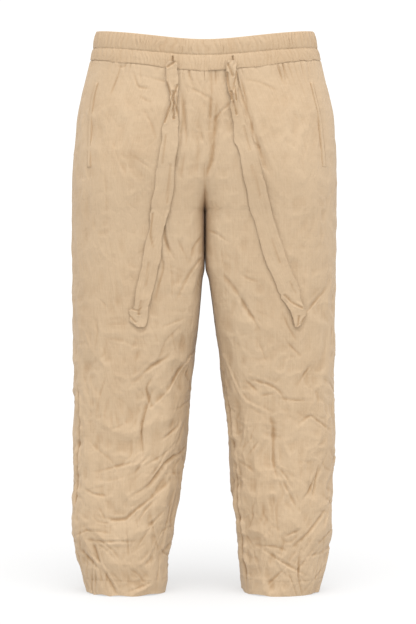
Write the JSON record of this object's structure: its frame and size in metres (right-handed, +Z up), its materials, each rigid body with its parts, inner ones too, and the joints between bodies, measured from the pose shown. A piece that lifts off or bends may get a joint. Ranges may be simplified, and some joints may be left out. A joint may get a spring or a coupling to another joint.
{
  "type": "drawstring joggers",
  "caption": "Ankle-length joggers in crinkled cotton, filled out, with a gathered elastic waistband, hanging flat ties, slanted welt pockets and elastic hems.",
  "frame": {"origin": "middle of the waist opening, level with the top of the waistband's sides, where the wearer's waist holds it", "axes": "+Z up, from the hems to the waist; +X to the wearer's left; the front faces -Y"},
  "size_m": [0.4538, 0.2788, 0.964],
  "materials": {
    "cloth": "matt plain-woven cotton with a crinkled surface"
  },
  "bodies": {
    "root": {"front_right": "cloth", "front_left": "cloth", "back_right": "cloth", "back_left": "cloth", "waistband_front": "cloth", "waistband_back": "cloth", "pocket_welt_right": "cloth", "pocket_welt_left": "cloth", "tie_right": "cloth", "tie_left": "cloth"}
  },
  "joints": []
}
